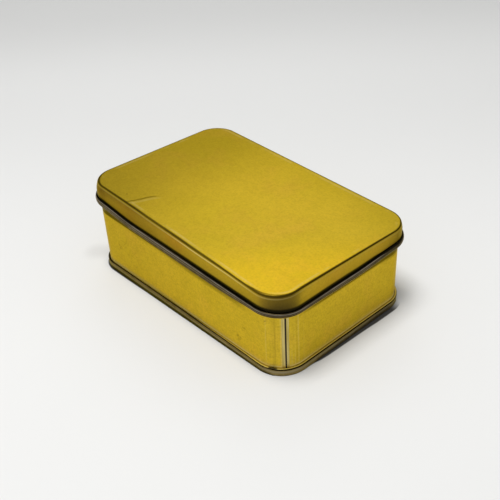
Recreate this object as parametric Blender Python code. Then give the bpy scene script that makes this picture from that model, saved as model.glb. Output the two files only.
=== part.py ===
"""Shut rectangular tin with a slip lid: a gold-lacquered body block, a pressed lid whose skirt ends in
an outward curl, and a seamed-on bottom end that stands proud of the wall. The lid sits a little askew,
lower at the +X end and turned slightly clockwise from above. Lengths in metres."""
import math
import bpy
import bmesh

# ---- driving dimensions -------------------------------------------------------------------------
LENGTH = 0.1900            # over the lid skirt, X
WIDTH = 0.1200             # over the lid skirt, Y
HEIGHT = 0.0638            # floor to the top of the lid at its middle, Z
GAP = 0.0003               # air between touching pieces

LID_CORNER_R = 0.0180      # plan radius of the lid skirt's outer face
LID_TILT_DEG = 1.85        # the lid is pushed down further at +X
LID_TURN_DEG = -0.5        # and turned about Z
LID_PIVOT_Z = 0.0543       # height the lid turns about, half way up the wall it covers

SHEET = 0.0005             # lid sheet
PANEL_EDGE_R = 0.0012      # rounding from lid panel to skirt
PANEL_INSET = 0.0006       # the skirt draws in by this much toward the panel
PANEL_TURN = 0.0055        # starting this far below the panel
PANEL_TWIST_DEG = -0.7     # the panel is turned this much further than the skirt's foot
CURL_HALF_OUT = 0.0010     # half the curl's width; it is flattened against the skirt
# the curl wanders: its centre's height and half its own height along the sides +Y, -X, -Y, +X ...
CURL_Z_SIDES = (0.0505, 0.0505, 0.0489, 0.0502)
CURL_HALF_UP_SIDES = (0.0024, 0.0024, 0.0025, 0.0021)
# ... and round the corners +X+Y, -X+Y, -X-Y, +X-Y
CURL_Z_CORNERS = (0.0526, 0.0510, 0.0518, 0.0498)
CURL_HALF_UP_CORNERS = (0.0021, 0.0023, 0.0024, 0.0016)
CURL_BLEND_OUT = 0.040     # the change from side to corner starts this far before the corner
CURL_BLEND_IN = 0.006      # and is complete this far into it

BODY_CORNER_R = 0.0196     # plan radius at the skirt's outer face; the lid is looser at the corners
WALL_O = -(SHEET + 0.0010) # body wall, measured out from the skirt's outer face
NECK_O = WALL_O - 0.0008   # the wall is necked in under the lid
NECK_Z = 0.0560            # above this height
BODY_TOP = HEIGHT - SHEET - GAP - LENGTH / 2 * math.sin(math.radians(LID_TILT_DEG)) - 0.0002
BODY_EDGE_R = 0.0010
SEAM_CORNER = 3            # corner index of the side seam: +X -Y
SEAM_DEG = -35.8           # where on that corner's arc the seam runs
SEAM_HALF_DEG = 1.4        # half width of the seam's groove
SEAM_DEPTH = 0.0005

RIM_TOP = 0.0054           # height of the bottom end's double seam
RIM_O_SIDE = 0.0003        # its outer face, out from the skirt's outer face
RIM_O_CORNER = 0.0001
RIM_R_TOP = 0.0006
RIM_R_BASE = 0.0005
RIM_INNER_O = -0.0018      # inner face of the standing ring
PLATE_TOP = 0.0039
PLATE_UNDER = 0.0032
NICK_DEG = -61.0           # small lip bent up in the rim's top edge
NICK_HALF_DEG = 4.5
NICK_RISE = 0.0005
NICK_OUT = 0.0002

CORNER_STEPS = 12
CURL_STEPS = 18
ROUND_STEPS = 4


def clear_scene():
    for ob in list(bpy.data.objects):
        bpy.data.objects.remove(ob, do_unlink=True)


def material(name, rgb, metallic, rough):
    mat = bpy.data.materials.new(name)
    mat.use_nodes = True
    bsdf = mat.node_tree.nodes["Principled BSDF"]
    bsdf.inputs["Base Color"].default_value = (*rgb, 1.0)
    bsdf.inputs["Metallic"].default_value = metallic
    bsdf.inputs["Roughness"].default_value = rough
    return mat


def smooth(t):
    t = min(max(t, 0.0), 1.0)
    return t * t * (3.0 - 2.0 * t)


def stations(radius, extra_degs=()):
    """Points round a plan of the given corner radius: (point x, y, normal x, y, share of the corner, nearest
    corner, nearest side, angle on the seam corner or None). The points lie on the plan of the skirt's outer
    face; offsets go along the normal."""
    sx, sy = LENGTH / 2 - radius, WIDTH / 2 - radius
    centres = [(sx, sy), (-sx, sy), (-sx, -sy), (sx, -sy)]
    out = []
    for i, (cx, cy) in enumerate(centres):
        start = (90.0 * i) if i < SEAM_CORNER else -90.0
        degs = [start + 90.0 * j / CORNER_STEPS for j in range(CORNER_STEPS + 1)]
        if i == SEAM_CORNER:
            keep = [d for d in degs if all(abs(d - e) > 0.9 for e in extra_degs)]
            degs = sorted(keep + list(extra_degs))
        for d in degs:
            a = math.radians(d)
            run = radius * math.radians(min(d - start, start + 90.0 - d))
            k = smooth((CURL_BLEND_OUT + run) / (CURL_BLEND_OUT + CURL_BLEND_IN))
            out.append((cx + radius * math.cos(a), cy + radius * math.sin(a), math.cos(a), math.sin(a), k,
                        i, i if d - start > 45.0 else (i + 3) % 4, d if i == SEAM_CORNER else None))
        nx, ny = centres[(i + 1) % 4]
        a = math.radians(start + 90.0)
        side = math.hypot(nx - cx, ny - cy)
        offs = [CURL_BLEND_OUT * f for f in (0.25, 0.5, 0.75, 1.0)]
        for s in offs + [side / 2] + [side - o for o in reversed(offs)]:
            f = s / side
            k = smooth((CURL_BLEND_OUT - min(s, side - s)) / (CURL_BLEND_OUT + CURL_BLEND_IN))
            out.append((cx + (nx - cx) * f + radius * math.cos(a), cy + (ny - cy) * f + radius * math.sin(a),
                        math.cos(a), math.sin(a), k, i if f < 0.5 else (i + 1) % 4, i, None))
    return out


def arc(o, z, r, d0, d1, n):
    pts = []
    for j in range(n + 1):
        a = math.radians(d0 + (d1 - d0) * j / n)
        pts.append((o + r * math.cos(a), z + r * math.sin(a)))
    return pts


def loft(name, sections, base_z, mat, parent):
    """One closed body: the first flat face is extruded ring by ring along the profile, and the ring it
    left open is filled last. The object's origin stands on the axis at base_z."""
    bm = bmesh.new()
    rings = [[(x, y, z - base_z) for x, y, z in ring] for ring in zip(*sections)]
    cap = bm.faces.new([bm.verts.new(p) for p in rings[0]])
    first = list(cap.verts)
    for ring in rings[1:]:
        cap = bmesh.ops.extrude_discrete_faces(bm, faces=[cap])["faces"][0]
        for corner, p in zip(cap.loops, ring):
            corner.vert.co = p
    bm.faces.new(first)
    bmesh.ops.recalc_face_normals(bm, faces=bm.faces)
    me = bpy.data.meshes.new(name)
    bm.to_mesh(me)
    bm.free()
    me.shade_smooth()
    me.set_sharp_from_angle(angle=math.radians(30.0))
    me.materials.append(mat)
    ob = bpy.data.objects.new(name, me)
    bpy.context.scene.collection.objects.link(ob)
    ob.parent = parent
    ob.location = (0.0, 0.0, base_z)
    return ob


def place(st, profile):
    px, py, nx, ny = st[:4]
    return [(px + nx * o, py + ny * o, z) for o, z in profile]


def lid_profile(k, corner, side):
    up = CURL_HALF_UP_SIDES[side] + (CURL_HALF_UP_CORNERS[corner] - CURL_HALF_UP_SIDES[side]) * k
    z = CURL_Z_SIDES[side] + (CURL_Z_CORNERS[corner] - CURL_Z_SIDES[side]) * k
    oc = CURL_HALF_OUT - SHEET
    start = math.degrees(math.acos(-oc / CURL_HALF_OUT))
    lean = math.atan(2 * PANEL_INSET / (PANEL_TURN - PANEL_EDGE_R))
    ec = -PANEL_INSET - PANEL_EDGE_R * math.cos(lean)
    ez = HEIGHT - PANEL_EDGE_R
    turn_z = ez + PANEL_EDGE_R * math.sin(lean)
    turn = []
    for f in (0.25, 0.5, 0.75, 1.0):
        turn.append((-PANEL_INSET * (1.0 - f) ** 2, turn_z + (HEIGHT - PANEL_TURN - turn_z) * f))
    pts = arc(ec, ez, PANEL_EDGE_R, 90.0, math.degrees(lean), ROUND_STEPS)
    pts += turn
    for o, h in arc(0.0, 0.0, 1.0, start, -180.0, CURL_STEPS):
        pts.append((oc + CURL_HALF_OUT * o, z + up * h))
    pts += [(o - SHEET, h) for o, h in reversed(turn)]
    pts += arc(ec, ez, PANEL_EDGE_R - SHEET, math.degrees(lean), 90.0, ROUND_STEPS)
    return pts


def body_profile(groove):
    wall = WALL_O - groove
    pts = arc(NECK_O - BODY_EDGE_R, BODY_TOP - BODY_EDGE_R, BODY_EDGE_R, 90.0, 0.0, ROUND_STEPS)
    pts += [(NECK_O, NECK_Z), (wall, NECK_Z - 2 * (WALL_O - NECK_O))]
    pts += arc(wall - GAP, PLATE_TOP + 2 * GAP, GAP, 0.0, -90.0, 1)
    return pts


def bottom_profile(k, nick):
    outer = RIM_O_SIDE + (RIM_O_CORNER - RIM_O_SIDE) * k + NICK_OUT * nick
    top = RIM_TOP + NICK_RISE * nick
    inner = WALL_O + GAP
    pts = [(inner, PLATE_TOP), (inner, top - GAP)]
    pts += arc(outer - RIM_R_TOP, top - RIM_R_TOP, RIM_R_TOP, 90.0, 0.0, ROUND_STEPS)
    pts += arc(outer - RIM_R_BASE, RIM_R_BASE, RIM_R_BASE, 0.0, -90.0, ROUND_STEPS)
    pts += arc(RIM_INNER_O + GAP, GAP, GAP, -90.0, -180.0, 2)
    pts += [(RIM_INNER_O, PLATE_UNDER)]
    return pts


def twisted(points):
    """The section with its upper part turned about the tin's axis, most at the panel."""
    out = []
    for x, y, z in points:
        t = math.radians(PANEL_TWIST_DEG) * smooth(1.0 - (HEIGHT - z) / PANEL_TURN)
        out.append((x - t * y, y + t * x, z))
    return out


def build():
    clear_scene()
    tin = bpy.data.objects.new("tin", None)
    bpy.context.scene.collection.objects.link(tin)
    lacquer = (0.42, 0.30, 0.030)

    sections = [twisted(place(s, lid_profile(*s[4:7]))) for s in stations(LID_CORNER_R)]
    lid = loft("lid", sections, LID_PIVOT_Z, material("lid", lacquer, 0.6, 0.32), tin)
    lid.rotation_euler = (0.0, math.radians(LID_TILT_DEG), math.radians(LID_TURN_DEG))

    seam_degs = [SEAM_DEG - SEAM_HALF_DEG, SEAM_DEG, SEAM_DEG + SEAM_HALF_DEG]
    sections = []
    for s in stations(BODY_CORNER_R, seam_degs):
        groove = SEAM_DEPTH if s[7] is not None and abs(s[7] - SEAM_DEG) < 0.01 else 0.0
        sections.append(place(s, body_profile(groove)))
    loft("body", sections, PLATE_TOP + GAP, material("body", lacquer, 0.6, 0.36), tin)

    nick_degs = [NICK_DEG + NICK_HALF_DEG * f for f in (-1.0, -0.5, 0.0, 0.5, 1.0)]
    sections = []
    for s in stations(BODY_CORNER_R, nick_degs):
        nick = 0.0 if s[7] is None else smooth(1.0 - abs(s[7] - NICK_DEG) / NICK_HALF_DEG)
        sections.append(place(s, bottom_profile(s[4], nick)))
    loft("bottom", sections, 0.0, material("bottom", (0.20, 0.15, 0.035), 0.6, 0.38), tin)


build()
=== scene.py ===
"""Looks for the shut rectangular tin: fine gold-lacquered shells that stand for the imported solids.

Metres, +Z up. In a profile, o is the distance out from the lid's skirt in plan. In the materials, run is
the distance along the two sides that face the camera: about -0.10 at the -X -Y corner, 0.02 at the +X -Y
(front) corner and 0.10 at the +X +Y corner.
"""

import math
from types import SimpleNamespace

import bmesh
import bpy
from mathutils import Matrix, Vector


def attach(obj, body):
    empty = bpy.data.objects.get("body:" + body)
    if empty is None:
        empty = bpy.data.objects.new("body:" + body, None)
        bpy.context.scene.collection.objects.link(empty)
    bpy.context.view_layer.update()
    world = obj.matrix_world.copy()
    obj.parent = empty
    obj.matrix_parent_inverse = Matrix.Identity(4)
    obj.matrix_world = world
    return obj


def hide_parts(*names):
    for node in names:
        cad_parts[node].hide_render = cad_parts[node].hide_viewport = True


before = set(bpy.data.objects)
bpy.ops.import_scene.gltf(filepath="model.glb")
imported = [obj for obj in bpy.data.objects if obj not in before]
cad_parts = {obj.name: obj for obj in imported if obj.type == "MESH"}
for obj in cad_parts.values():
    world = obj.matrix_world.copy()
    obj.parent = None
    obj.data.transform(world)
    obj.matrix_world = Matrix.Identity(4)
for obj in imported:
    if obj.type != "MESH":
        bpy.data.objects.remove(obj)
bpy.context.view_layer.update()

# ---- sizes, as in the CAD ------------------------------------------------------------------------
LENGTH, WIDTH, HEIGHT = 0.1900, 0.1200, 0.0638      # over the skirt, with the lid level
GAP = 0.0003                                        # between neighbouring solids; also the smallest radius

LID_CORNER_R = 0.0180
LID_TILT_DEG, LID_TURN_DEG = 1.85, -0.5             # the lid sits lower at +X, and turned about Z
LID_PIVOT_Z = 0.0543
SHEET = 0.0005
PANEL_EDGE_R = 0.0012
PANEL_INSET, PANEL_TURN = 0.0006, 0.0055            # the skirt's top draws in this much over this height
PANEL_TWIST_DEG = -0.7                              # the panel's further turn against the skirt's foot

# the curl, a rolled edge at the skirt's foot: its middle's height and half its own height, going round
CURL_HALF_OUT = 0.0010
CURL_Z_SIDES = (0.0505, 0.0505, 0.0489, 0.0502)                 # +Y, -X, -Y, +X
CURL_HALF_UP_SIDES = (0.0024, 0.0024, 0.0025, 0.0021)
CURL_Z_CORNERS = (0.0526, 0.0510, 0.0518, 0.0498)               # +X+Y, -X+Y, -X-Y, +X-Y
CURL_HALF_UP_CORNERS = (0.0021, 0.0023, 0.0024, 0.0016)
CURL_BLEND_OUT, CURL_BLEND_IN = 0.040, 0.006                    # side turns to corner over this, each way
CURL_START_DEG = math.degrees(math.acos(-(CURL_HALF_OUT - SHEET) / CURL_HALF_OUT))
CURL_ROOT = math.sin(math.radians(CURL_START_DEG))              # where it leaves the skirt, in half heights

BODY_CORNER_R = 0.0196
WALL_INSET, NECK_INSET, NECK_Z = 0.0010, 0.0008, 0.0560
WALL_O = -(SHEET + WALL_INSET)
NECK_O = WALL_O - NECK_INSET
TILT_DROP, TOP_SPARE = LENGTH / 2 * math.sin(math.radians(LID_TILT_DEG)), 0.0002
BODY_TOP = HEIGHT - SHEET - GAP - TILT_DROP - TOP_SPARE
BODY_EDGE_R = 0.0010
SEAM_DEG, SEAM_HALF_DEG, SEAM_DEPTH = -35.8, 1.6, 0.0005        # side seam, an angle on the +X -Y corner
STRIP_FROM_DEG, STRIP_TO_DEG = SEAM_DEG - 7.6, SEAM_DEG + 6.5   # unprinted strip on both sides of it

RIM_TOP = 0.0054
RIM_O_SIDE, RIM_O_CORNER = 0.0003, 0.0001
RIM_R_TOP, RIM_R_BASE = 0.0006, 0.0005
RIM_INNER_O = -0.0018
PLATE_TOP, PLATE_UNDER = 0.0039, 0.0032
NICK_DEG, NICK_HALF_DEG, NICK_RISE, NICK_OUT = -61.0, 4.5, 0.0005, 0.0002
NICK_X = LENGTH / 2 - BODY_CORNER_R + BODY_CORNER_R * math.cos(math.radians(NICK_DEG))
NICK_Y = -WIDTH / 2 + BODY_CORNER_R + BODY_CORNER_R * math.sin(math.radians(NICK_DEG))

# ---- mesh ----------------------------------------------------------------------------------------
SKIN = 0.00002                      # the shells' outer faces lie this far inside the solids'
CORNER_STEPS = 40
SIDE_PITCH = 0.004
KEEP_APART_DEG = 0.35               # an even step this close to an extra angle is dropped
SHARP_DEG = 35.0
FRONT_CORNER = 3                    # +X -Y, the corner with the seam and the nick
EDGE_STEPS, INNER_EDGE_STEPS, TURN_STEPS, CURL_STEPS, WALL_STEPS, RIM_STEPS = 10, 6, 8, 40, 12, 8
SKIRT_STOPS = (0.25, 0.5, 0.75, 0.95)
CURL_FROM = EDGE_STEPS + 1 + TURN_STEPS + len(SKIRT_STOPS)      # the curl's first face in the lid's profile
CURL_TO = CURL_FROM + CURL_STEPS

# ---- materials -----------------------------------------------------------------------------------
RUN_X, RUN_Y = 0.656, 0.755         # the direction in which run is measured
FRONT_FADE = (0.020, 0.006)         # paint for the -Y and +X sides fades in between these distances
END_FADE = (0.016, 0.006)           # and so does paint for the +X side alone

# ---- camera and light ----------------------------------------------------------------------------
PICTURE_PX, SENSOR_MM = 500.0, 36.0
CAMERA_FOCAL_PX = 787.566           # in pixels of a picture PICTURE_PX wide
CAMERA_AZIMUTH, CAMERA_ELEVATION = math.radians(49.0147), math.radians(33.5525)
CAMERA_ROLL, CAMERA_PAN, CAMERA_NOD = math.radians(3.2854), math.radians(0.3710), math.radians(0.6970)
CAMERA_DISTANCE = 0.537414
AIM = Vector((0.0, 0.0, 0.030))
LIGHT_DISTANCE = 1.6
SKY_COLOUR, SKY_STRENGTH = (0.93, 0.95, 0.96), 0.55
RIGHTWARD = Vector((math.cos(CAMERA_AZIMUTH), math.sin(CAMERA_AZIMUTH), 0.0))      # as the camera sees it
BACKWARD = Vector((-math.sin(CAMERA_AZIMUTH), math.cos(CAMERA_AZIMUTH), 0.0))      # level, away from it


def smooth(t):
    t = min(max(t, 0.0), 1.0)
    return t * t * (3.0 - 2.0 * t)


def corner_share(inside):
    """1 on a corner and 0 on a side, for this distance inside the corner's rounding, below 0 outside it."""
    return smooth((CURL_BLEND_OUT + inside) / (CURL_BLEND_OUT + CURL_BLEND_IN))


def station(cx, cy, radius, angle, **facts):
    """A point this far out from a centre, with its outward direction."""
    a = math.radians(angle)
    return SimpleNamespace(x=cx + radius * math.cos(a), y=cy + radius * math.sin(a),
                           nx=math.cos(a), ny=math.sin(a), **facts)


def stations(radius, extra_degs=()):
    """Stations round the plan, counterclockwise from the start of the +X +Y corner. Each knows the nearest
    corner and side, the corner's share and, on the front corner, its angle. That corner also gets stations
    at the extra angles."""
    sx, sy = LENGTH / 2 - radius, WIDTH / 2 - radius
    centres = [(sx, sy), (-sx, sy), (-sx, -sy), (sx, -sy)]
    out = []
    for i, (cx, cy) in enumerate(centres):
        on_front = i == FRONT_CORNER
        start = -90.0 if on_front else 90.0 * i
        degs = [start + 90.0 * j / CORNER_STEPS for j in range(CORNER_STEPS + 1)]
        if on_front:
            degs = [d for d in degs if all(abs(d - e) > KEEP_APART_DEG for e in extra_degs)]
            degs = sorted(degs + list(extra_degs))
        for d in degs:
            inside = radius * math.radians(min(d - start, start + 90.0 - d))
            out.append(station(cx, cy, radius, d, share=corner_share(inside), corner=i,
                               side=i if d - start > 45.0 else (i + 3) % 4, deg=d if on_front else None))
        next_x, next_y = centres[(i + 1) % 4]
        length = math.hypot(next_x - cx, next_y - cy)
        n = round(length / SIDE_PITCH)
        for j in range(1, n):
            outside = min(length * j / n, length - length * j / n)
            out.append(station(cx + (next_x - cx) * j / n, cy + (next_y - cy) * j / n, radius, start + 90.0,
                               share=corner_share(-outside), corner=i if 2 * j < n else (i + 1) % 4,
                               side=i, deg=None))
    return out


def near_deg(s, deg, half_deg):
    """1 at this angle of the front corner, falling to 0 half_deg away and everywhere else."""
    return 0.0 if s.deg is None else smooth(1.0 - abs(s.deg - deg) / half_deg)


def from_side_to_corner(s, sides, corners):
    """The station's value, between its side's and its corner's."""
    return sides[s.side] + (corners[s.corner] - sides[s.side]) * s.share


def place(s, profile):
    """The profile's points, stood up at the station."""
    return [(s.x + s.nx * (o - SKIN), s.y + s.ny * (o - SKIN), z) for o, z in profile]


def arc(o, z, r, from_deg, to_deg, n):
    """Profile points on an arc, from 0 degrees straight out to 90 straight up."""
    angles = [math.radians(from_deg + (to_deg - from_deg) * j / n) for j in range(n + 1)]
    return [(o + r * math.cos(a), z + r * math.sin(a)) for a in angles]


def smooth_object(name, bm, mats):
    """Turns the mesh in the making into an object in the scene."""
    mesh = bpy.data.meshes.new(name)
    bm.to_mesh(mesh)
    bm.free()
    mesh.shade_smooth()
    for mat in mats:
        mesh.materials.append(mat)
    ob = bpy.data.objects.new(name, mesh)
    bpy.context.scene.collection.objects.link(ob)
    return ob


def loft(name, sections, mats, mat_of=lambda j, i: 0):
    """A closed skin over the sections. mat_of(profile index, station index) picks a material slot."""
    bm = bmesh.new()
    rings = [[bm.verts.new(p) for p in section] for section in sections]
    for i, ring in enumerate(rings):
        after = rings[(i + 1) % len(rings)]
        for j in range(len(ring) - 1):
            face = bm.faces.new((ring[j], after[j], after[j + 1], ring[j + 1]))
            face.material_index = mat_of(j, i)
    bm.faces.new([ring[0] for ring in rings])
    bm.faces.new([ring[-1] for ring in reversed(rings)])
    bmesh.ops.recalc_face_normals(bm, faces=bm.faces)
    ob = smooth_object(name, bm, mats)
    ob.data.set_sharp_from_angle(angle=math.radians(SHARP_DEG))
    return ob


# ---- materials: the tools ------------------------------------------------------------------------
class Graph:
    """A Principled material's node graph and short ways to wire it. Positions are in metres, and on the lid
    they are its own, as if it sat level. col holds the colour so far, and normal the bumps so far."""

    def __init__(self, name, on_lid=False):
        self.mat = bpy.data.materials.new(name)
        self.mat.use_nodes = True
        self.tree = self.mat.node_tree
        self.bsdf = self.tree.nodes["Principled BSDF"]
        self.col = self.normal = None
        self.pos = self.add("ShaderNodeTexCoord").outputs["Object"]
        if on_lid:
            level = self.add("ShaderNodeMapping", vector_type="TEXTURE")
            self.link(self.pos, level.inputs["Vector"])
            level.inputs["Location"].default_value = (0.0, 0.0, LID_PIVOT_Z)
            level.inputs["Rotation"].default_value = (
                0.0, math.radians(LID_TILT_DEG), math.radians(LID_TURN_DEG))
            self.pos = level.outputs[0]
        sep = self.add("ShaderNodeSeparateXYZ")
        self.link(self.pos, sep.inputs[0])
        self.x, self.y, self.z = sep.outputs
        if on_lid:
            self.z = self.plus(self.z, LID_PIVOT_Z)

    def add(self, kind, **props):
        node = self.tree.nodes.new(kind)
        for key, value in props.items():
            setattr(node, key, value)
        return node

    def link(self, a, b):
        self.tree.links.new(a, b)

    def put(self, socket, v):
        """Links an output to the socket, or sets a number or a colour on it."""
        if hasattr(v, "is_output"):
            self.link(v, socket)
        elif isinstance(v, tuple) and socket.type == "RGBA":
            socket.default_value = (*v, 1.0)
        else:
            socket.default_value = v

    def shader(self, name, v):
        self.put(self.bsdf.inputs[name], v)

    # numbers
    def math(self, op, a, b=0.0, clamp=False):
        node = self.add("ShaderNodeMath", operation=op, use_clamp=clamp)
        self.put(node.inputs[0], a)
        self.put(node.inputs[1], b)
        return node.outputs[0]

    def chain(self, op, values):
        out = values[0]
        for v in values[1:]:
            out = self.math(op, out, v)
        return out

    def plus(self, *values):
        return self.chain("ADD", values)

    def times(self, *values):
        return self.chain("MULTIPLY", values)

    def minus(self, a, b):
        return self.math("SUBTRACT", a, b)

    def larger(self, a, b):
        return self.math("MAXIMUM", a, b)

    def length(self, a, b):
        return self.math("SQRT", self.plus(self.times(a, a), self.times(b, b)))

    def band(self, v, lo, hi, to_lo=0.0, to_hi=1.0):
        """A smooth step: to_lo up to lo, to_hi from hi on. lo may be the greater of the two."""
        node = self.add("ShaderNodeMapRange", interpolation_type="SMOOTHSTEP")
        for socket, value in zip(node.inputs, (v, lo, hi, to_lo, to_hi)):
            self.put(socket, value)
        return node.outputs[0]

    def hump(self, v, a, b, c, d, top=1.0):
        """0 outside a..d, top between b and c."""
        return self.times(self.band(v, a, b, 0.0, top), self.band(v, c, d, 1.0, 0.0))

    def curve(self, v, points):
        """A smooth run through (value, result) pairs, held level past the ends."""
        lo, hi = points[0][0], points[-1][0]
        top = max(result for _, result in points)
        t = self.math("DIVIDE", self.minus(v, lo), hi - lo, clamp=True)
        node = self.add("ShaderNodeFloatCurve")
        curve = node.mapping.curves[0]
        curve.points[0].location = (0.0, points[0][1] / top)
        curve.points[1].location = (1.0, points[-1][1] / top)
        for where, result in points[1:-1]:
            curve.points.new((where - lo) / (hi - lo), result / top)
        node.mapping.update()
        self.link(t, node.inputs["Value"])
        return self.times(node.outputs[0], top)

    def attribute(self, name):
        return self.add("ShaderNodeAttribute", attribute_name=name).outputs["Fac"]

    def noise(self, scale, detail=3.0, rough=0.5, stretch=None):
        vector = self.pos
        if stretch:
            mapping = self.add("ShaderNodeMapping")
            self.link(self.pos, mapping.inputs["Vector"])
            mapping.inputs["Scale"].default_value = stretch
            vector = mapping.outputs[0]
        node = self.add("ShaderNodeTexNoise")
        self.link(vector, node.inputs["Vector"])
        node.inputs["Scale"].default_value = scale
        node.inputs["Detail"].default_value = detail
        node.inputs["Roughness"].default_value = rough
        return node.outputs["Fac"]

    # places
    def turned(self, deg):
        """x and y with a small turn of this angle about Z undone."""
        t = math.radians(deg)
        return self.plus(self.x, self.times(self.y, t)), self.minus(self.y, self.times(self.x, t))

    def off(self, radius, xy=None):
        """Distance out from the skirt's plan, drawn with this corner radius."""
        x, y = xy or (self.x, self.y)
        past_x = self.larger(self.minus(self.math("ABSOLUTE", x), LENGTH / 2 - radius), 0.0)
        past_y = self.larger(self.minus(self.math("ABSOLUTE", y), WIDTH / 2 - radius), 0.0)
        return self.minus(self.length(past_x, past_y), radius)

    def away(self, x, y):
        """Distance in plan from a point."""
        return self.length(self.minus(self.x, x), self.minus(self.y, y))

    def run(self):
        """Distance along a line that runs past both the -Y and the +X side."""
        return self.plus(self.times(self.x, RUN_X), self.times(self.y, RUN_Y))

    def front(self):
        """1 on the -Y and +X sides and the corner between them, 0 elsewhere."""
        far, near = FRONT_FADE
        return self.larger(self.band(self.y, -WIDTH / 2 + far, -WIDTH / 2 + near),
                           self.band(self.x, LENGTH / 2 - far, LENGTH / 2 - near))

    def end(self):
        """1 on the +X side, 0 elsewhere."""
        far, near = END_FADE
        return self.band(self.x, LENGTH / 2 - far, LENGTH / 2 - near)

    # colour and relief
    def mix(self, fac, a, b, mode="MIX"):
        node = self.add("ShaderNodeMix", data_type="RGBA", blend_type=mode)
        for key, v in (("Factor_Float", fac), ("A_Color", a), ("B_Color", b)):
            self.put(next(s for s in node.inputs if s.identifier == key), v)
        return next(s for s in node.outputs if s.identifier == "Result_Color")

    def paint(self, colour, *masks):
        """Lays the colour over what is there, as thickly as the masks multiply to."""
        self.col = self.mix(self.times(*masks), self.col, colour)

    def tint(self, colour, *masks):
        """Multiplies what is there by the colour, as strongly as the masks multiply to."""
        self.col = self.mix(self.times(*masks), self.col, colour, "MULTIPLY")

    def bump(self, height, distance, strength):
        """Adds relief to the normal so far."""
        node = self.add("ShaderNodeBump")
        self.put(node.inputs["Height"], height)
        node.inputs["Distance"].default_value = distance
        node.inputs["Strength"].default_value = strength
        if self.normal is not None:
            self.link(self.normal, node.inputs["Normal"])
        self.normal = node.outputs["Normal"]

    def done(self):
        """Wires the colour and the relief to the shader, and gives the material."""
        self.shader("Base Color", self.col)
        if self.normal is not None:
            self.shader("Normal", self.normal)
        return self.mat


# ---- materials: the finishes ---------------------------------------------------------------------
GOLD = (0.68, 0.468, 0.034)
# the darkest painted shade: in the fold, over the curl's top and at the rim's foot
PAINTED_SHADE = (0.010, 0.008, 0.003)
UMBER = (0.045, 0.028, 0.002)
PALE = (0.72, 0.58, 0.20)                           # pale lacquer, for painted highlights and pale lines
BLACK = (0.0, 0.0, 0.0)
OLIVE_SHIFT, OCHRE_SHIFT = (0.92, 0.95, 0.8), (1.02, 0.93, 1.3)
LIT_SHIFT, BROWN_SHIFT = (1.20, 1.14, 0.82), (1.06, 0.86, 0.90)
SKIRT_DARK = (0.034, 0.024, 0.008)
TIN_LIGHT, TIN_DARK = (0.064, 0.046, 0.020), (0.042, 0.030, 0.011)
TIN_CROWN, TIN_MIDDLE = (0.26, 0.22, 0.17), (0.19, 0.16, 0.10)          # painted highlight lines on the curl
TIN_BELOW, TIN_SHADE_LINE = (0.060, 0.041, 0.003), (0.012, 0.008, 0.001)
TIN_FOOT_HIGHLIGHT, TIN_FOOT_GOLD = (0.60, 0.52, 0.26), (0.60, 0.43, 0.05)
TIN_FAR_CORNER = (0.026, 0.020, 0.004)
DIRT = (0.16, 0.09, 0.01)
STRIP_LIGHT, STRIP_DARK = (0.60, 0.49, 0.18), (0.46, 0.36, 0.09)
SEAM_LIGHT, SEAM_DARK = (0.05, 0.035, 0.010), (0.02, 0.014, 0.004)
RIM_LIGHT, RIM_DARK = (0.20, 0.152, 0.060), (0.125, 0.091, 0.029)
RIM_HIGHLIGHT, RIM_GOLD, RIM_LINE = (0.30, 0.25, 0.15), (0.62, 0.46, 0.08), (0.009, 0.005, 0.001)
RIM_END_PAINTED_LIGHT = (1.35, 1.35, 1.35)
NICK_DARK = (0.012, 0.007, 0.001)
PAPER_LIGHT, PAPER_DARK = (0.745, 0.740, 0.727), (0.730, 0.725, 0.712)
CONTACT = (0.02, 0.018, 0.015)                      # painted contact shadow on the paper where the tin meets it
LACQUER_GLINT, TIN_GLINT = (0.95, 0.85, 0.45), (1.0, 0.9, 0.7)
LACQUER_METALLIC, DULL_METALLIC, LEDGE_METALLIC = 0.97, 0.12, 0.2
TIN_METALLIC, STRIP_METALLIC, SEAM_METALLIC = 0.96, 0.8, 0.3


def toned(rgb, tone):
    return tuple(c * tone for c in rgb)


def shifted(rgb, shift):
    return tuple(c * k for c, k in zip(rgb, shift))


def lacquer(g, tone, grit):
    """Starts the colour: gold, faintly clouded toward olive and toward ochre, with a fine dark grain."""
    gold = toned(GOLD, tone)
    g.col = g.mix(g.band(g.noise(14.0, 2.0), 0.3, 0.7), gold, shifted(gold, OLIVE_SHIFT))
    g.paint(shifted(gold, OCHRE_SHIFT), g.band(g.noise(33.0, 3.0, 0.6), 0.5, 0.75, 0.0, 0.6))
    g.paint(toned(gold, 0.62), g.band(g.noise(230.0, 3.0, 0.6), 0.3, 0.7, 0.0, grit))
    g.paint(toned(gold, 0.5), g.band(g.noise(800.0, 2.0, 0.6), 0.35, 0.75, 0.0, 1.6 * grit))


def gloss(g, rough):
    """A lacquered metal's shine, a little uneven."""
    g.shader("Metallic", LACQUER_METALLIC)
    g.shader("Specular Tint", LACQUER_GLINT)
    g.shader("Roughness", g.band(g.noise(60.0, 4.0, 0.6), 0.3, 0.7, rough - 0.03, rough + 0.03))


# The curves below are (run, value) pairs, unless they say otherwise.
# painted shade on the skirt: how much of its own colour shows through
SKIRT_SHADE = [
    (-0.093, 0.38), (-0.082, 0.53), (-0.068, 0.46), (-0.045, 0.56), (-0.006, 0.68), (0.004, 0.62),
    (0.0185, 0.12), (0.029, 0.36), (0.037, 0.74), (0.050, 0.68), (0.068, 0.66), (0.084, 0.56),
    (0.090, 0.44), (0.095, 0.24)]
SKIRT_BROWN = [(-0.095, 1.0), (-0.050, 1.0), (-0.020, 0.4), (0.020, 0.2), (0.045, 0.5), (0.095, 0.6)]
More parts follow.
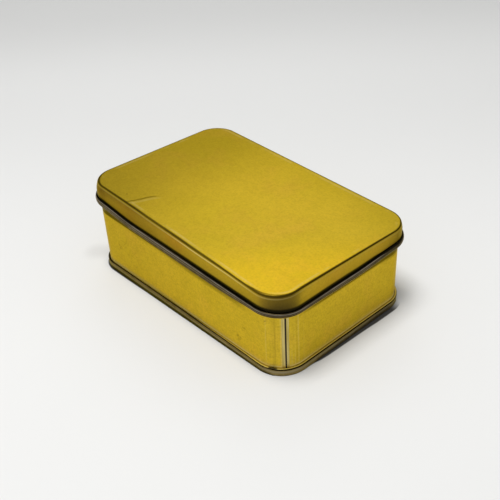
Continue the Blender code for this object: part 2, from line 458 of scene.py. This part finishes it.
# the dark line of painted shade along the panel's edge: how far down it lies, how much wider it is, and its
# strength
EDGE_LINE_DOWN = [
    (-0.095, 0.0), (-0.070, 0.0002), (-0.060, 0.0005), (-0.038, 0.0008), (-0.027, 0.0011), (-0.015, 0.0011),
    (-0.003, 0.00155), (0.010, 0.0018), (0.024, 0.0014), (0.036, 0.0007), (0.095, 0.0008)]
EDGE_LINE_RAISED, EDGE_LINE_UP = 0.0006, 0.0002         # both take it up: on the front sides, and all round
EDGE_LINE_WIDER = [
    (-0.095, 0.0), (-0.060, 0.0004), (-0.027, 0.0005), (-0.003, 0.0), (0.008, 0.0012), (0.024, 0.0006),
    (0.060, 0.0002), (0.090, 0.0)]
EDGE_LINE_STRENGTH = [
    (-0.095, 0.93), (-0.070, 0.93), (-0.060, 0.86), (-0.038, 0.90), (-0.027, 0.82), (-0.015, 0.86),
    (-0.003, 0.82), (0.008, 0.90), (0.0185, 0.94), (0.030, 0.97), (0.095, 0.98)]
# the painted highlight just below the dark line: its strength
EDGE_GLINT = [(-0.095, 0.20), (-0.050, 0.35), (-0.025, 0.8), (0.010, 0.25), (0.040, 0.10), (0.095, 0.12)]
# how far the painted shade in the fold reaches up from the curl
FOLD_SHADE = [
    (-0.095, 0.0030), (-0.080, 0.0025), (-0.070, 0.0026), (-0.060, 0.0030), (-0.027, 0.0034),
    (0.062, 0.0034), (0.078, 0.0028), (0.090, 0.0012), (0.095, 0.0012)]
# the crease in the panel by the -X -Y corner: (y, distance from CREASE_X)
CREASE_X = -0.060
CREASE_PATH = [(-0.058, 0.0100), (-0.050, 0.0138), (-0.043, 0.0164), (-0.037, 0.0201)]
SPECK_X, SPECK_Y = -0.0581, -0.0512


def lid_lacquer():
    """The panel has a dark line of painted shade along its edge, a painted highlight just below it and a
    pale line inside it, a faint crease with painted shadow and highlight, and a speck; the lid is painted
    darker toward -X and lighter toward the front corner. The skirt is browner toward -X and painted darkest
    round the front corner, with painted shade in the fold above the curl."""
    g = Graph("lid_lacquer", on_lid=True)
    run, front = g.run(), g.front()
    gloss(g, 0.38)
    lacquer(g, 0.95, 0.16)
    # painted shade: the lid is darkened toward -X
    g.paint(toned(UMBER, 0.5), g.band(g.x, -0.070, 0.000, 0.20, 0.0))

    # over is the distance over the panel's edge: below 0 on the panel, above 0 down the skirt
    over = g.plus(g.off(LID_CORNER_R, g.turned(PANEL_TWIST_DEG)), g.minus(HEIGHT, g.z))
    panel, skirt = g.band(over, -0.0008, -0.0016), g.band(over, -0.0002, 0.0006)
    # painted light: the panel is lighter toward the front corner
    toward_front_corner = g.minus(g.times(g.x, 0.8), g.times(g.y, 0.6))
    g.tint(LIT_SHIFT, panel, g.band(toward_front_corner, 0.046, 0.086))
    # painted shade on the skirt, darkest round the front corner and darker toward its foot
    shade = g.larger(g.curve(run, SKIRT_SHADE), g.band(front, 1.0, 0.0, 0.0, 0.7))
    lower = g.band(over, 0.0020, 0.0110, -0.07, 0.07)
    g.paint(SKIRT_DARK, skirt, g.math("ADD", g.minus(1.0, shade), lower, clamp=True))
    clouds = g.band(g.noise(28.0, 2.0), 0.35, 0.65, 0.5, 1.0)
    g.tint(BROWN_SHIFT, skirt, g.curve(run, SKIRT_BROWN), clouds)

    # lines along the edge, placed by the distance from where the dark one lies: the dark line is painted
    # shade, the glint below it a painted highlight, and a pale line lies inside it
    lower_line = g.minus(g.curve(run, EDGE_LINE_DOWN), EDGE_LINE_RAISED)
    at_edge = g.plus(g.minus(over, g.times(front, lower_line)), EDGE_LINE_UP)
    wider = g.times(front, g.curve(run, EDGE_LINE_WIDER), g.band(at_edge, -0.0008, -0.0014))
    glint = g.hump(at_edge, 0.0005, 0.0009, 0.0012, 0.0019)
    line = g.hump(g.plus(at_edge, wider), -0.0022, -0.0012, -0.0005, 0.0004)
    pale_line = g.hump(at_edge, -0.0050, -0.0040, -0.0034, -0.0026, 0.30)
    wander = g.noise(55.0, 2.0)
    g.paint(PALE, glint, g.curve(run, EDGE_GLINT))
    g.paint(UMBER, line, g.curve(run, EDGE_LINE_STRENGTH), g.band(wander, 0.3, 0.6, 0.96, 1.0))
    g.paint(PALE, pale_line, g.band(wander, 0.42, 0.6))

    # crease, with its painted shadow and painted highlight, and speck
    from_crease = g.minus(g.minus(g.x, CREASE_X), g.curve(g.y, CREASE_PATH))
    on_crease = g.hump(g.y, -0.058, -0.055, -0.042, -0.036)
    shadow = g.hump(from_crease, -0.0022, -0.0012, -0.0006, 0.0004, 0.45)
    light = g.hump(from_crease, 0.0002, 0.0014, 0.0020, 0.0040, 0.22)
    speck = g.band(g.away(SPECK_X, SPECK_Y), 0.0008, 0.0003, 0.0, 0.6)
    g.paint(UMBER, on_crease, shadow)
    g.paint(PALE, on_crease, light)
    g.paint(UMBER, speck, g.band(g.z, HEIGHT - 0.0008, HEIGHT - 0.0002))

    # painted shade in the fold above the curl
    above_curl = g.minus(g.minus(g.z, g.attribute("curl_z")), g.times(g.attribute("curl_up"), CURL_ROOT))
    reach = g.larger(g.curve(run, FOLD_SHADE), g.band(front, 1.0, 0.0, 0.0, 0.0026))
    g.paint(PAINTED_SHADE, g.band(above_curl, g.times(reach, 0.55), reach, 1.0, 0.0))

    g.bump(g.noise(26.0, 2.0), 0.0004, 0.12)
    g.bump(g.times(on_crease, g.band(from_crease, -0.0015, 0.0015)), 0.0002, 0.4)
    g.bump(g.noise(1400.0, 2.0), 0.00002, 0.25)
    return g.done()


# the level on the curl above which it has the fold's painted shade
CURL_SHADE_FROM = [
    (-0.095, 0.78), (-0.075, 0.80), (-0.062, 0.95), (-0.038, 0.93), (-0.020, 0.82), (-0.003, 0.80),
    (0.008, 0.90), (0.028, 0.96), (0.044, 0.90), (0.062, 0.82), (0.078, 0.78), (0.090, 0.45), (0.095, 0.42)]


def curl_tinplate():
    """Bare tinplate, stained brown, with painted highlight lines along it, painted shade over its top and
    on its underside, and a darker line in that shade. Its foot is gold by the front corner and has a
    painted highlight on the rest of the +X side, and it darkens toward the +X +Y (far) corner."""
    g = Graph("bare_tinplate", on_lid=True)
    run, end = g.run(), g.end()
    level = g.math("DIVIDE", g.minus(g.z, g.attribute("curl_z")), g.attribute("curl_up"))   # -1 foot, 1 top
    crown = g.hump(level, 0.50, 0.62, 0.80, 0.92)
    middle = g.hump(level, -0.02, 0.12, 0.22, 0.34)
    below = g.band(level, -0.30, 0.05, 0.6, 0.0)
    groove = g.hump(level, -0.70, -0.55, -0.40, -0.25, 0.70)
    foot = g.hump(level, -1.00, -0.92, -0.74, -0.60)
    patchy = g.band(g.noise(90.0), 0.3, 0.6, 0.5, 1.0)
    g.col = g.mix(g.band(g.noise(160.0, 4.0, 0.6), 0.35, 0.7), TIN_LIGHT, TIN_DARK)
    # painted highlights high on the curl and across its middle
    g.paint(TIN_CROWN, crown, patchy)
    g.paint(TIN_MIDDLE, middle, patchy, g.band(end, 0.0, 1.0, 0.9, 0.5))
    # painted shade on the curl's underside, with a darker line along it
    g.paint(TIN_BELOW, below)
    g.paint(TIN_SHADE_LINE, groove)
    # painted highlight along the curl's foot on the +X side
    g.paint(TIN_FOOT_HIGHLIGHT, end, foot)
    # painted shade over the curl's top, as in the fold
    shade_from = g.curve(run, CURL_SHADE_FROM)
    g.paint(PAINTED_SHADE, g.band(level, shade_from, g.plus(shade_from, 0.10)))
    by_front_corner, by_far_corner = g.hump(run, -0.008, 0.004, 0.042, 0.054), g.band(run, 0.070, 0.090)
    g.paint(TIN_FOOT_GOLD, by_front_corner, g.band(level, -0.38, -0.56))
    g.paint(TIN_FAR_CORNER, by_far_corner, g.band(level, 0.50, 0.10))
    g.shader("Metallic", TIN_METALLIC)
    g.shader("Specular Tint", TIN_GLINT)
    g.shader("Roughness", g.band(g.noise(300.0), 0.3, 0.7, 0.32, 0.48))
    g.bump(g.noise(500.0), 0.00006, 0.3)
    return g.done()


# painted shade: how much darker the wall is painted along the run
WALL_SHADE = [
    (-0.095, 0.24), (-0.050, 0.13), (-0.010, 0.05), (0.016, 0.06), (0.030, 0.12), (0.050, 0.15),
    (0.080, 0.17), (0.095, 0.22)]
# the lid's shade on the wall: how much further down its soft part reaches, that part's strength, and the
# strength of its firm part
SHADE_REACH = [
    (-0.095, 0.0), (-0.078, 0.0), (-0.070, 0.0010), (-0.060, 0.0006), (-0.034, 0.0014), (-0.015, 0.0014),
    (0.002, 0.0010), (0.020, 0.0002), (0.080, 0.0), (0.092, 0.0010), (0.095, 0.0010)]
SHADE_SOFT = [
    (-0.095, 0.0), (-0.078, 0.12), (-0.070, 0.25), (-0.060, 0.20), (-0.030, 0.45), (-0.012, 0.40),
    (-0.002, 0.10), (0.006, 0.0), (0.022, 0.0), (0.034, 0.15), (0.050, 0.40), (0.080, 0.30), (0.095, 0.50)]
SHADE_FIRM = [
    (-0.095, 0.95), (-0.078, 0.90), (-0.070, 0.90), (-0.020, 0.62), (-0.008, 0.40), (0.004, 0.0),
    (0.024, 0.0), (0.034, 0.30), (0.050, 0.60), (0.095, 0.80)]
SHADE_SOFT_FROM, SHADE_SOFT_TO = 0.0410, 0.0433         # heights at the tin's middle
SHADE_FIRM_FROM, SHADE_FIRM_TO = 0.0425, 0.0436
SHADE_END_UP, SHADE_END_SHORT = 0.0016, 0.0007          # on the +X side it lies higher, and is less soft


def body_lacquer():
    """The wall: painted darker along the run and browner in the lid's painted shade, streaked by the seam,
    with a pale painted highlight just above the rim, where it is also dull.
    """
    g = Graph("body_lacquer")
    run, front, end = g.run(), g.front(), g.end()
    gloss(g, 0.40)
    # painted light: the wall's gold is toned lighter than the lid's
    lacquer(g, 1.15, 0.26)
    # painted shade along the run
    g.paint(toned(UMBER, 0.5), front, g.curve(run, WALL_SHADE))

    # up is the height with the lid's tilt taken out, so that the shade follows the curl
    tilt = g.times(g.x, math.sin(math.radians(LID_TILT_DEG)))
    up = g.minus(g.plus(g.z, tilt), g.times(end, SHADE_END_UP))
    soft_from = g.plus(SHADE_SOFT_FROM, g.times(end, SHADE_END_SHORT))
    soft = g.band(g.plus(up, g.curve(run, SHADE_REACH)), soft_from, SHADE_SOFT_TO)
    g.paint(UMBER, front, g.curve(run, SHADE_SOFT), soft)
    firm = g.larger(g.band(front, 1.0, 0.0, 0.0, 0.6), g.curve(run, SHADE_FIRM))
    g.paint(UMBER, firm, g.band(up, SHADE_FIRM_FROM, SHADE_FIRM_TO))

    # dirt in spots, streaks by the seam, and a faint level hatch
    spots = g.band(g.noise(75.0, 5.0, 0.7), 0.63, 0.72, 0.0, 0.60)
    g.paint(DIRT, spots, g.band(g.noise(500.0, 2.0), 0.4, 0.6, 0.4, 1.0))
    near_seam = g.times(front, g.hump(run, 0.004, 0.012, 0.028, 0.036))
    streak = g.noise(1.0, 3.0, 0.6, (420.0, 420.0, 5.0))
    g.paint(toned(GOLD, 0.55), near_seam, g.band(streak, 0.45, 0.7, 0.0, 0.50))
    g.paint(PALE, near_seam, g.band(streak, 0.45, 0.3, 0.0, 0.45))
    hatch = g.noise(1.0, 2.0, 0.7, (160.0, 160.0, 900.0))
    g.paint(toned(GOLD, 0.4), g.band(hatch, 0.35, 0.7, 0.0, 0.10))

    above_rim = g.minus(g.z, RIM_TOP)
    # painted highlight in a thin band just above the rim, where the wall is also less metallic
    above_rim_highlight = g.hump(above_rim, 0.0001, 0.0005, 0.0009, 0.0016)
    g.paint(PALE, above_rim_highlight, g.band(g.noise(40.0), 0.35, 0.6, 0.35, 0.9))
    g.shader("Metallic", g.band(above_rim, 0.0008, 0.0040, DULL_METALLIC, LACQUER_METALLIC))
    g.bump(g.noise(22.0, 2.0), 0.0004, 0.12)
    g.bump(streak, 0.00004, 0.2)
    return g.done()


def unprinted_strip():
    """The pale strip beside the seam, with an upright grain."""
    g = Graph("unprinted_strip")
    grain = g.band(g.noise(1.0, 3.0, 0.6, (900.0, 900.0, 60.0)), 0.3, 0.7)
    g.col = g.mix(grain, STRIP_LIGHT, STRIP_DARK)
    g.shader("Metallic", STRIP_METALLIC)
    g.shader("Roughness", g.band(grain, 0.0, 1.0, 0.36, 0.46))
    g.bump(grain, 0.00003, 0.3)
    return g.done()


def seam_shadow():
    """The groove of the side seam."""
    g = Graph("seam_shadow")
    g.col = g.mix(g.noise(500.0), SEAM_LIGHT, SEAM_DARK)
    g.shader("Metallic", SEAM_METALLIC)
    g.shader("Roughness", 0.6)
    return g.done()


RIM_FOOT_UP = [         # how high the painted shade at the rim's foot stands
    (-0.095, 0.0018), (-0.060, 0.0021), (-0.030, 0.0018), (-0.010, 0.0012), (0.010, 0.0006), (0.030, 0.0),
    (0.095, 0.0)]
RIM_LINE_OUT = [        # how far out over the rim's top the dark line of painted shade lies
    (-0.095, 0.0003), (-0.070, 0.0), (-0.060, 0.0001), (-0.040, 0.0003), (-0.027, 0.0006), (-0.015, 0.0008),
    (-0.003, 0.0010), (0.008, 0.0013), (0.0185, 0.0012), (0.095, 0.0013)]


def rim_lacquer():
    """Dull brown, lighter on the +X side as painted light, with a painted highlight along its face and
    painted shade at its foot. On top there is gold against the wall and a dark line of painted shade
    outside it. The nick is dark."""
    g = Graph("rim_lacquer")
    run, front, end = g.run(), g.front(), g.end()
    gloss(g, 0.38)
    g.col = g.mix(g.band(g.noise(160.0, 4.0, 0.6), 0.35, 0.7), RIM_LIGHT, RIM_DARK)
    # painted light: the rim is lighter on the +X side
    g.tint(RIM_END_PAINTED_LIGHT, end)
    # painted highlight along the rim's face
    pale_line = g.hump(g.z, g.minus(0.0025, g.times(end, 0.0006)), 0.0030, 0.0033, 0.0038)
    g.paint(RIM_HIGHLIGHT, pale_line, g.band(g.noise(90.0), 0.3, 0.6, 0.4, 1.0))
    # painted shade at the rim's foot
    above_foot = g.minus(g.z, g.curve(run, RIM_FOOT_UP))
    foot_from, foot_to = g.times(end, -0.0008), g.minus(0.0020, g.times(end, 0.0015))
    g.paint(PAINTED_SHADE, g.band(above_foot, foot_from, foot_to, 0.97, 0.0))

    # over is the distance from the wall over the rim's top, from where its dark line of painted shade
    # starts
    from_wall = g.minus(g.off(BODY_CORNER_R), WALL_O)
    line_out = g.times(front, g.curve(run, RIM_LINE_OUT))
    over = g.minus(g.plus(from_wall, g.minus(RIM_TOP, g.z)), line_out)
    on_top = g.band(g.z, RIM_TOP - 0.0022, RIM_TOP - 0.0018)
    inner = g.times(g.band(over, 0.0004, 0.0001), on_top)
    g.paint(RIM_GOLD, inner)
    wider = g.times(end, 0.0005)
    line = g.hump(over, 0.0001, 0.0003, g.plus(0.0009, wider), g.plus(0.0012, wider))
    g.paint(RIM_LINE, line, on_top, g.band(end, 0.0, 1.0, 0.95, 1.0))
    in_nick = g.band(g.away(NICK_X, NICK_Y), 0.0036, 0.0022, 0.0, 0.95)
    g.paint(NICK_DARK, in_nick, g.band(g.z, RIM_TOP - 0.0010, RIM_TOP - 0.0004))
    g.shader("Metallic", g.band(inner, 0.0, 1.0, LACQUER_METALLIC, LEDGE_METALLIC))
    g.bump(g.noise(220.0), 0.0001, 0.3)
    return g.done()


CONTACT_OUT = [         # how far out from the tin the contact shade reaches
    (-0.100, 0.0010), (-0.081, 0.0009), (-0.070, 0.0006), (-0.046, 0.0004), (-0.026, 0.0), (0.030, 0.0),
    (0.042, 0.0014), (0.049, 0.0020), (0.062, 0.0024), (0.075, 0.0028), (0.088, 0.0034), (0.100, 0.0034)]
SHADOW_SPOT_X, SHADOW_SPOT_Y = -0.104, -0.055


def paper():
    """The floor: white paper, with painted shade a little darker behind, a painted contact shade and one
    faint painted shadow by the -X -Y corner.
    """
    g = Graph("paper")
    behind = g.plus(g.times(g.y, BACKWARD.y), g.times(g.x, BACKWARD.x))
    g.col = g.mix(g.noise(6.0, 2.0), PAPER_LIGHT, PAPER_DARK)
    # painted shade: the paper darkens behind the tin
    g.paint(BLACK, g.band(behind, -0.06, 0.30, 0.0, 0.10))
    g.paint(BLACK, g.hump(behind, 0.35, 0.62, 0.75, 1.3, 0.10))
    from_rim = g.minus(g.off(BODY_CORNER_R), RIM_O_CORNER)
    reach = g.curve(g.run(), CONTACT_OUT)
    # painted contact shadow round the tin's foot
    contact_shadow = g.band(from_rim, g.minus(reach, 0.0007), g.plus(reach, 0.0001), 0.96, 0.0)
    before_far_corner = g.band(g.y, 0.052, 0.040)
    # a faint painted shadow by the -X -Y corner
    shadow_spot = g.band(g.away(SHADOW_SPOT_X, SHADOW_SPOT_Y), 0.002, 0.014, 0.12, 0.0)
    g.paint(CONTACT, contact_shadow, before_far_corner)
    g.paint(CONTACT, shadow_spot)
    g.shader("Roughness", 0.9)
    return g.done()


# ---- lid -----------------------------------------------------------------------------------------
def lid_profile(s):
    """From the panel's edge over the skirt and round the curl, then back up the inside."""
    up = from_side_to_corner(s, CURL_HALF_UP_SIDES, CURL_HALF_UP_CORNERS)
    curl_z = from_side_to_corner(s, CURL_Z_SIDES, CURL_Z_CORNERS)
    lean = math.atan(2 * PANEL_INSET / (PANEL_TURN - PANEL_EDGE_R))
    edge_o, edge_z = -PANEL_INSET - PANEL_EDGE_R * math.cos(lean), HEIGHT - PANEL_EDGE_R
    turn_top, turn_foot = edge_z + PANEL_EDGE_R * math.sin(lean), HEIGHT - PANEL_TURN
    turn = [(-PANEL_INSET * (1.0 - j / TURN_STEPS) ** 2, turn_top + (turn_foot - turn_top) * j / TURN_STEPS)
            for j in range(1, TURN_STEPS + 1)]
    root_z = curl_z + up * CURL_ROOT
    curl_o = CURL_HALF_OUT - SHEET

    pts = arc(edge_o, edge_z, PANEL_EDGE_R, 90.0, math.degrees(lean), EDGE_STEPS) + turn
    pts += [(0.0, turn_foot + (root_z - turn_foot) * f) for f in SKIRT_STOPS]
    pts += [(curl_o + CURL_HALF_OUT * o, curl_z + up * h)
            for o, h in arc(0.0, 0.0, 1.0, CURL_START_DEG, -180.0, CURL_STEPS)]
    pts += [(o - SHEET, z) for o, z in reversed(turn)]
    pts += arc(edge_o, edge_z, PANEL_EDGE_R - SHEET, math.degrees(lean), 90.0, INNER_EDGE_STEPS)
    return pts


def twisted(points):
    """Turns the panel a little further than the skirt's foot, and puts the origin on the pivot."""
    out = []
    for x, y, z in points:
        t = math.radians(PANEL_TWIST_DEG) * smooth(1.0 - (HEIGHT - z) / PANEL_TURN)
        out.append((x - t * y, y + t * x, z - LID_PIVOT_Z))
    return out


def note_curl(ob, round_lid):
    """Keeps the curl's height and half height at each point, for the materials."""
    per_ring = len(ob.data.vertices) // len(round_lid)
    for name, sides, corners in (("curl_z", CURL_Z_SIDES, CURL_Z_CORNERS),
                                 ("curl_up", CURL_HALF_UP_SIDES, CURL_HALF_UP_CORNERS)):
        values = [from_side_to_corner(s, sides, corners) for s in round_lid for _ in range(per_ring)]
        ob.data.attributes.new(name, "FLOAT", "POINT").data.foreach_set("value", values)


round_lid = stations(LID_CORNER_R)
lid = loft("lid_shell", [twisted(place(s, lid_profile(s))) for s in round_lid],
           [lid_lacquer(), curl_tinplate()], lambda j, i: 1 if CURL_FROM <= j < CURL_TO else 0)
note_curl(lid, round_lid)
lid.data.transform(Matrix.Translation((0, 0, LID_PIVOT_Z))
                   @ Matrix.Rotation(math.radians(LID_TURN_DEG), 4, "Z")
                   @ Matrix.Rotation(math.radians(LID_TILT_DEG), 4, "Y"))
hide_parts("lid")
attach(lid, "root")


# ---- body ----------------------------------------------------------------------------------------
def body_profile(groove):
    """The neck's rounded top edge, the shoulder, and the wall down to the plate."""
    wall = WALL_O - groove
    shoulder_z, foot_z = NECK_Z - 2 * (WALL_O - NECK_O), PLATE_TOP + 2 * GAP
    pts = arc(NECK_O - BODY_EDGE_R, BODY_TOP - BODY_EDGE_R, BODY_EDGE_R, 90.0, 0.0, 5)
    pts += [(NECK_O, NECK_Z)]
    pts += [(wall, shoulder_z + (foot_z - shoulder_z) * j / WALL_STEPS) for j in range(WALL_STEPS)]
    pts += arc(wall - GAP, foot_z, GAP, 0.0, -90.0, 3)
    return pts


def seam_zone(s, after):
    """The material slot between two stations: 0 lacquer, 1 unprinted strip, 2 the seam's groove."""
    if s.deg is None or after.deg is None:
        return 0
    deg = (s.deg + after.deg) / 2
    if abs(deg - SEAM_DEG) < SEAM_HALF_DEG:
        return 2
    return 1 if STRIP_FROM_DEG < deg < STRIP_TO_DEG else 0


seam_degs = [SEAM_DEG + SEAM_HALF_DEG * f for f in (-1.0, -0.55, 0.0, 0.55, 1.0)]
round_body = stations(BODY_CORNER_R, seam_degs + [STRIP_FROM_DEG, STRIP_TO_DEG])
zones = [seam_zone(s, after) for s, after in zip(round_body, round_body[1:] + round_body[:1])]
body = loft("body_wall",
            [place(s, body_profile(SEAM_DEPTH * near_deg(s, SEAM_DEG, SEAM_HALF_DEG))) for s in round_body],
            [body_lacquer(), unprinted_strip(), seam_shadow()], lambda j, i: zones[i])
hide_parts("body")
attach(body, "root")


# ---- bottom --------------------------------------------------------------------------------------
def bottom_profile(s):
    """The seam's inner face, its rounded top, outer face and foot, and the recess up to the plate."""
    nick = near_deg(s, NICK_DEG, NICK_HALF_DEG)
    outer = RIM_O_SIDE + (RIM_O_CORNER - RIM_O_SIDE) * s.share + NICK_OUT * nick
    top = RIM_TOP + NICK_RISE * nick
    inner = WALL_O + GAP
    pts = [(inner, PLATE_TOP), (inner, top - GAP)]
    pts += arc(outer - RIM_R_TOP, top - RIM_R_TOP, RIM_R_TOP, 90.0, 0.0, RIM_STEPS)
    pts += arc(outer - RIM_R_BASE, RIM_R_BASE, RIM_R_BASE, 0.0, -90.0, RIM_STEPS)
    pts += arc(RIM_INNER_O + GAP, GAP, GAP, -90.0, -180.0, 4)
    pts += [(RIM_INNER_O, PLATE_UNDER)]
    return pts


nick_degs = [NICK_DEG + NICK_HALF_DEG * j / 4 for j in range(-4, 5)]
rim = loft("bottom_rim", [place(s, bottom_profile(s)) for s in stations(BODY_CORNER_R, nick_degs)],
           [rim_lacquer()])
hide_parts("bottom")
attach(rim, "root")


# ---- camera, floor and light ---------------------------------------------------------------------
def add_camera():
    """A camera that looks at the tin and is then turned a little in its own frame."""
    toward = math.cos(CAMERA_ELEVATION) * -BACKWARD + Vector((0.0, 0.0, math.sin(CAMERA_ELEVATION)))
    rows = Matrix((RIGHTWARD, toward.cross(RIGHTWARD), toward))
    turn = (Matrix.Rotation(CAMERA_ROLL, 3, "Z") @ Matrix.Rotation(CAMERA_NOD, 3, "X")
            @ Matrix.Rotation(CAMERA_PAN, 3, "Y"))
    data = bpy.data.cameras.new("camera")
    data.sensor_width = SENSOR_MM
    data.lens = CAMERA_FOCAL_PX / PICTURE_PX * SENSOR_MM
    camera = bpy.data.objects.new("camera", data)
    camera.matrix_world = (Matrix.Translation(toward * CAMERA_DISTANCE + AIM)
                           @ (turn @ rows).transposed().to_4x4())
    bpy.context.scene.collection.objects.link(camera)
    bpy.context.scene.camera = camera
    bpy.context.scene.view_settings.view_transform = "Standard"


def floor_sweep():
    """A sheet that lies flat and curves up far behind."""
    near, bend_from, bend_r, top, half_width = -3.0, 1.2, 1.0, 3.0, 4.0
    profile = [(near, 0.0), (bend_from, 0.0)]
    profile += [(bend_from + bend_r * math.sin(math.radians(a)), bend_r * (1.0 - math.cos(math.radians(a))))
                for a in range(6, 91, 6)]
    profile += [(bend_from + bend_r, top)]
    bm = bmesh.new()
    left, right = [[bm.verts.new(BACKWARD * t + RIGHTWARD * w + Vector((0.0, 0.0, z))) for t, z in profile]
                   for w in (-half_width, half_width)]
    for j in range(len(profile) - 1):
        bm.faces.new((left[j], right[j], right[j + 1], left[j + 1]))
    bmesh.ops.recalc_face_normals(bm, faces=bm.faces)
    return smooth_object("floor", bm, [paper()])


def square_light(name, azimuth, elevation, size, power):
    a, e = math.radians(azimuth), math.radians(elevation)
    data = bpy.data.lights.new(name, "AREA")
    data.size = size
    data.energy = power
    light = bpy.data.objects.new(name, data)
    toward = Vector((math.sin(a) * math.cos(e), -math.cos(a) * math.cos(e), math.sin(e)))
    light.location = LIGHT_DISTANCE * toward
    light.rotation_euler = (AIM - light.location).to_track_quat("-Z", "Y").to_euler()
    bpy.context.scene.collection.objects.link(light)


def add_world():
    world = bpy.data.worlds.new("studio")
    world.use_nodes = True
    background = world.node_tree.nodes["Background"]
    background.inputs["Color"].default_value = (*SKY_COLOUR, 1.0)
    background.inputs["Strength"].default_value = SKY_STRENGTH
    bpy.context.scene.world = world


add_camera()
floor = floor_sweep()
square_light("key", azimuth=-10, elevation=80, size=0.6, power=18.7)
square_light("back", azimuth=224, elevation=44, size=0.8, power=1.8)
add_world()
